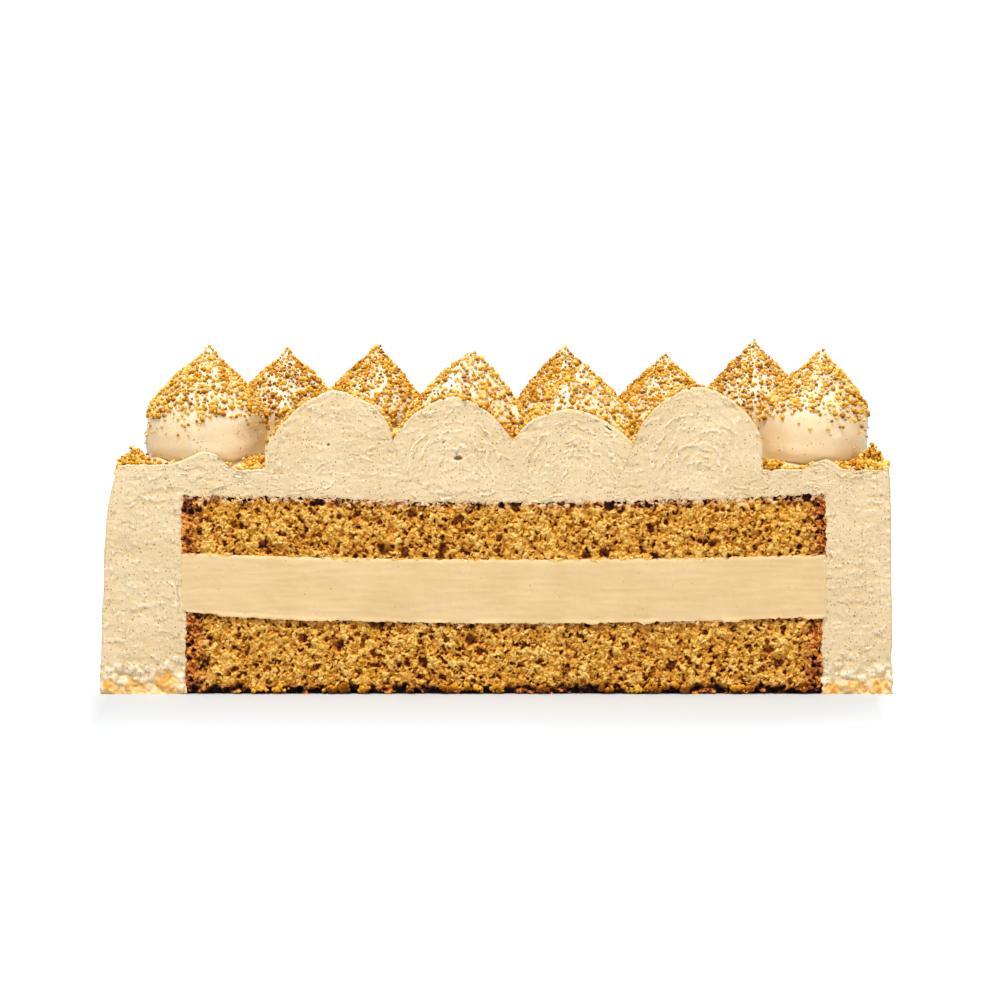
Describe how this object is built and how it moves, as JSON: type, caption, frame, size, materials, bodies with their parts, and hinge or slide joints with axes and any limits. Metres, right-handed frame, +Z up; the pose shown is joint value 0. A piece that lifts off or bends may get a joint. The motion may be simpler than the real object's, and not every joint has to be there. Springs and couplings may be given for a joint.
{
  "type": "tiramisu cake half",
  "caption": "Half of a round layered sponge and cream cake, cut through the middle, with piped cream dollops and biscuit crumbs on top.",
  "frame": {"origin": "middle of the footprint's box, on the surface that the cake stands on", "axes": "+X along the cut face to the right as seen from the cut, -Y out of the cut face, +Z up"},
  "size_m": [0.2, 0.0995, 0.0883],
  "materials": {
    "sponge": "open golden brown sponge crumb, matte",
    "filling": "smooth pale tan cream, satin",
    "cream": "pale cream with tiny air pits, satin"
  },
  "bodies": {
    "root": {"sponge_bottom": "sponge", "filling_cream": "filling", "sponge_top": "sponge", "cream_coat": "cream", "dollop_01": "cream", "dollop_02": "cream", "dollop_03": "cream", "dollop_04": "cream", "dollop_05": "cream", "dollop_06": "cream", "dollop_07": "cream", "dollop_08": "cream", "dollop_09": "cream", "dollop_10": "cream", "dollop_11": "cream", "dollop_12": "cream"}
  },
  "joints": []
}
